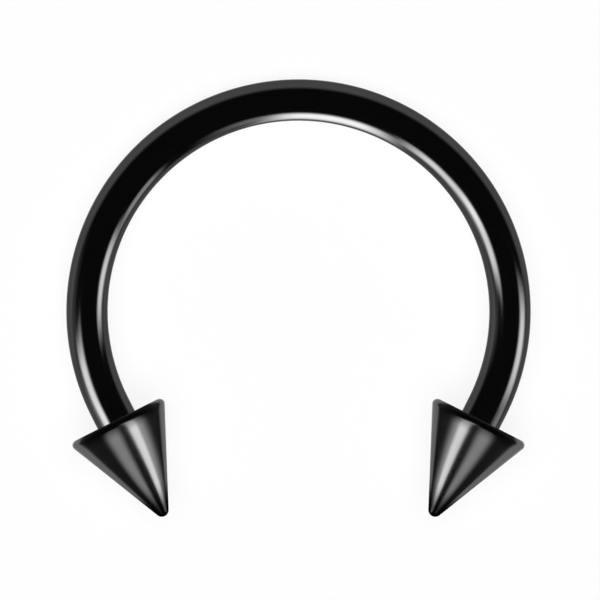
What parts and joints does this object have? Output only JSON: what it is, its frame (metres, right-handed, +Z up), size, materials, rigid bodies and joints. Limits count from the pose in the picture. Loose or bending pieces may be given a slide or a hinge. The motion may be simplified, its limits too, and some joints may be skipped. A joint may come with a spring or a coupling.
{
  "type": "piercing ring",
  "caption": "Open curved barbell ring for a body piercing: a round black steel bar with a pointed cone screwed on each end.",
  "frame": {"origin": "on the surface the ring lies on, under the middle of its whole outline", "axes": "+Z up; +X across the ring from the picture's left cone to its right one; +Y from the open mouth towards the middle of the arc. The ring leans 5.3 degrees: the arc's middle and both cone rims touch the surface"},
  "size_m": [0.0134, 0.0126, 0.0029],
  "materials": {
    "bar_steel": "surgical steel under a thin black vapour coating, polished to a mirror, with faint polishing lines",
    "cone_steel": "surgical steel under a thin black vapour coating, polished on the lathe to a softer gloss than the bar, with faint rings round the axis"
  },
  "bodies": {
    "bar": {"curved_bar": "bar_steel"},
    "left_cone": {"cone_left": "cone_steel"},
    "right_cone": {"cone_right": "cone_steel"}
  },
  "joints": [
    {"name": "cone_left_unscrew", "type": "slide", "parent": "bar", "child": "left_cone", "axis": [0.4509, -0.8887, 0.083], "range_m": [0, 0.002]},
    {"name": "cone_right_unscrew", "type": "slide", "parent": "bar", "child": "right_cone", "axis": [-0.4509, -0.8887, 0.083], "range_m": [0, 0.002]}
  ]
}
